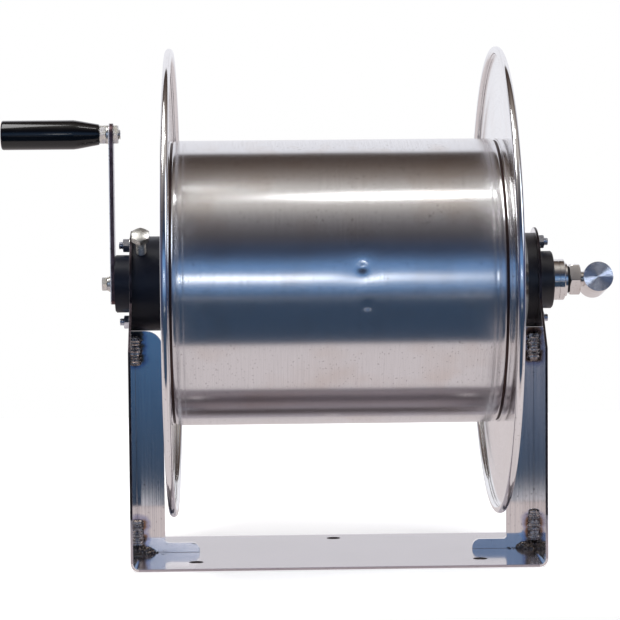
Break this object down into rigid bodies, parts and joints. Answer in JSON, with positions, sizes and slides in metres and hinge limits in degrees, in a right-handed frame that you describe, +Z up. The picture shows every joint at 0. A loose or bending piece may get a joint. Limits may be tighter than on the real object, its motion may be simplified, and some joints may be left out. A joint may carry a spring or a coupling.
{
  "type": "fire hose reel",
  "caption": "Hand-cranked hose reel: a drum between two rimmed discs, carried in a bent U-shaped frame, with a crank, a friction brake screw and a swivel elbow.",
  "frame": {"origin": "centre of the base underside, midway between the two uprights", "axes": "+X along the reel's axis towards the swivel elbow, -Y the front, +Z up"},
  "size_m": [0.6124, 0.47, 0.511],
  "materials": {
    "frame_steel": "bright polished sheet steel",
    "weld_metal": "heat-tinted weld bead",
    "housing_black": "black moulded housing, satin",
    "bush_bronze": "plain sintered bronze",
    "bolt_zinc": "bright zinc-plated fasteners",
    "brake_nylon": "natural nylon",
    "drum_steel": "polished stainless steel with a fine turned grain",
    "shaft_steel": "turned stainless steel",
    "crank_steel": "bright flat bar",
    "grip_black": "black gloss plastic",
    "seal_rubber": "black seal rubber"
  },
  "bodies": {
    "frame": {"u_frame": "frame_steel", "left_gusset": "frame_steel", "right_gusset": "frame_steel", "left_gusset_welds": "weld_metal", "right_gusset_welds": "weld_metal", "left_housing": "housing_black", "right_housing": "housing_black", "left_outer_bush": "bush_bronze", "left_inner_bush": "bush_bronze", "right_bush": "bush_bronze", "left_housing_bolts": "bolt_zinc", "right_housing_bolts": "bolt_zinc", "left_housing_nuts": "bolt_zinc", "right_housing_nuts": "bolt_zinc", "housing_washers": "bolt_zinc"},
    "brake_shoe": {"brake_shoe": "brake_nylon"},
    "brake_screw": {"brake_screw": "bolt_zinc"},
    "drum": {"drum_shell": "drum_steel", "left_drum_head": "drum_steel", "right_drum_head": "drum_steel", "left_disc": "drum_steel", "right_disc": "drum_steel", "crank_axle": "shaft_steel", "hollow_shaft": "shaft_steel", "left_disc_screws": "bolt_zinc", "right_disc_screws": "bolt_zinc", "left_disc_nuts": "bolt_zinc", "right_disc_nuts": "bolt_zinc", "inner_elbow": "shaft_steel", "outlet_pipe": "shaft_steel", "outlet_nuts": "bolt_zinc", "shaft_collar": "shaft_steel", "collar_set_screw": "bolt_zinc", "crank_arm": "crank_steel", "crank_bolt": "bolt_zinc", "crank_washer": "bolt_zinc", "crank_lock_washer": "bolt_zinc", "grip_spindle": "bolt_zinc", "spindle_lock_washer": "bolt_zinc", "spindle_nut": "bolt_zinc", "swivel_stem": "shaft_steel", "stem_seal_washer": "seal_rubber"},
    "grip": {"grip": "grip_black", "grip_cap": "grip_black"},
    "swivel": {"swivel_elbow": "shaft_steel", "swivel_seal_rings": "seal_rubber", "swivel_lock_ring": "bolt_zinc"}
  },
  "joints": [
    {"name": "drum_spin", "type": "hinge", "parent": "frame", "child": "drum", "pos_m": [0, 0, 0.276], "axis": [1, 0, 0], "continuous": true},
    {"name": "grip_spin", "type": "hinge", "parent": "drum", "child": "grip", "pos_m": [-0.28, 0, 0.426], "axis": [1, 0, 0], "continuous": true},
    {"name": "swivel_turn", "type": "hinge", "parent": "drum", "child": "swivel", "pos_m": [0.2653, 0, 0.276], "axis": [1, 0, 0], "continuous": true},
    {"name": "brake_shoe_slide", "type": "slide", "parent": "frame", "child": "brake_shoe", "axis": [0, -0.7071, 0.7071], "range_m": [0, 0.0045]},
    {"name": "brake_screw_turn", "type": "hinge", "parent": "brake_shoe", "child": "brake_screw", "pos_m": [-0.1925, -0.02828, 0.30428], "axis": [0, -0.7071, 0.7071], "range_deg": [0, 1080]}
  ],
  "couplings": [
    {"joint": "brake_screw_turn", "follows": "brake_shoe_slide", "rad_per_m": 4188.8}
  ]
}
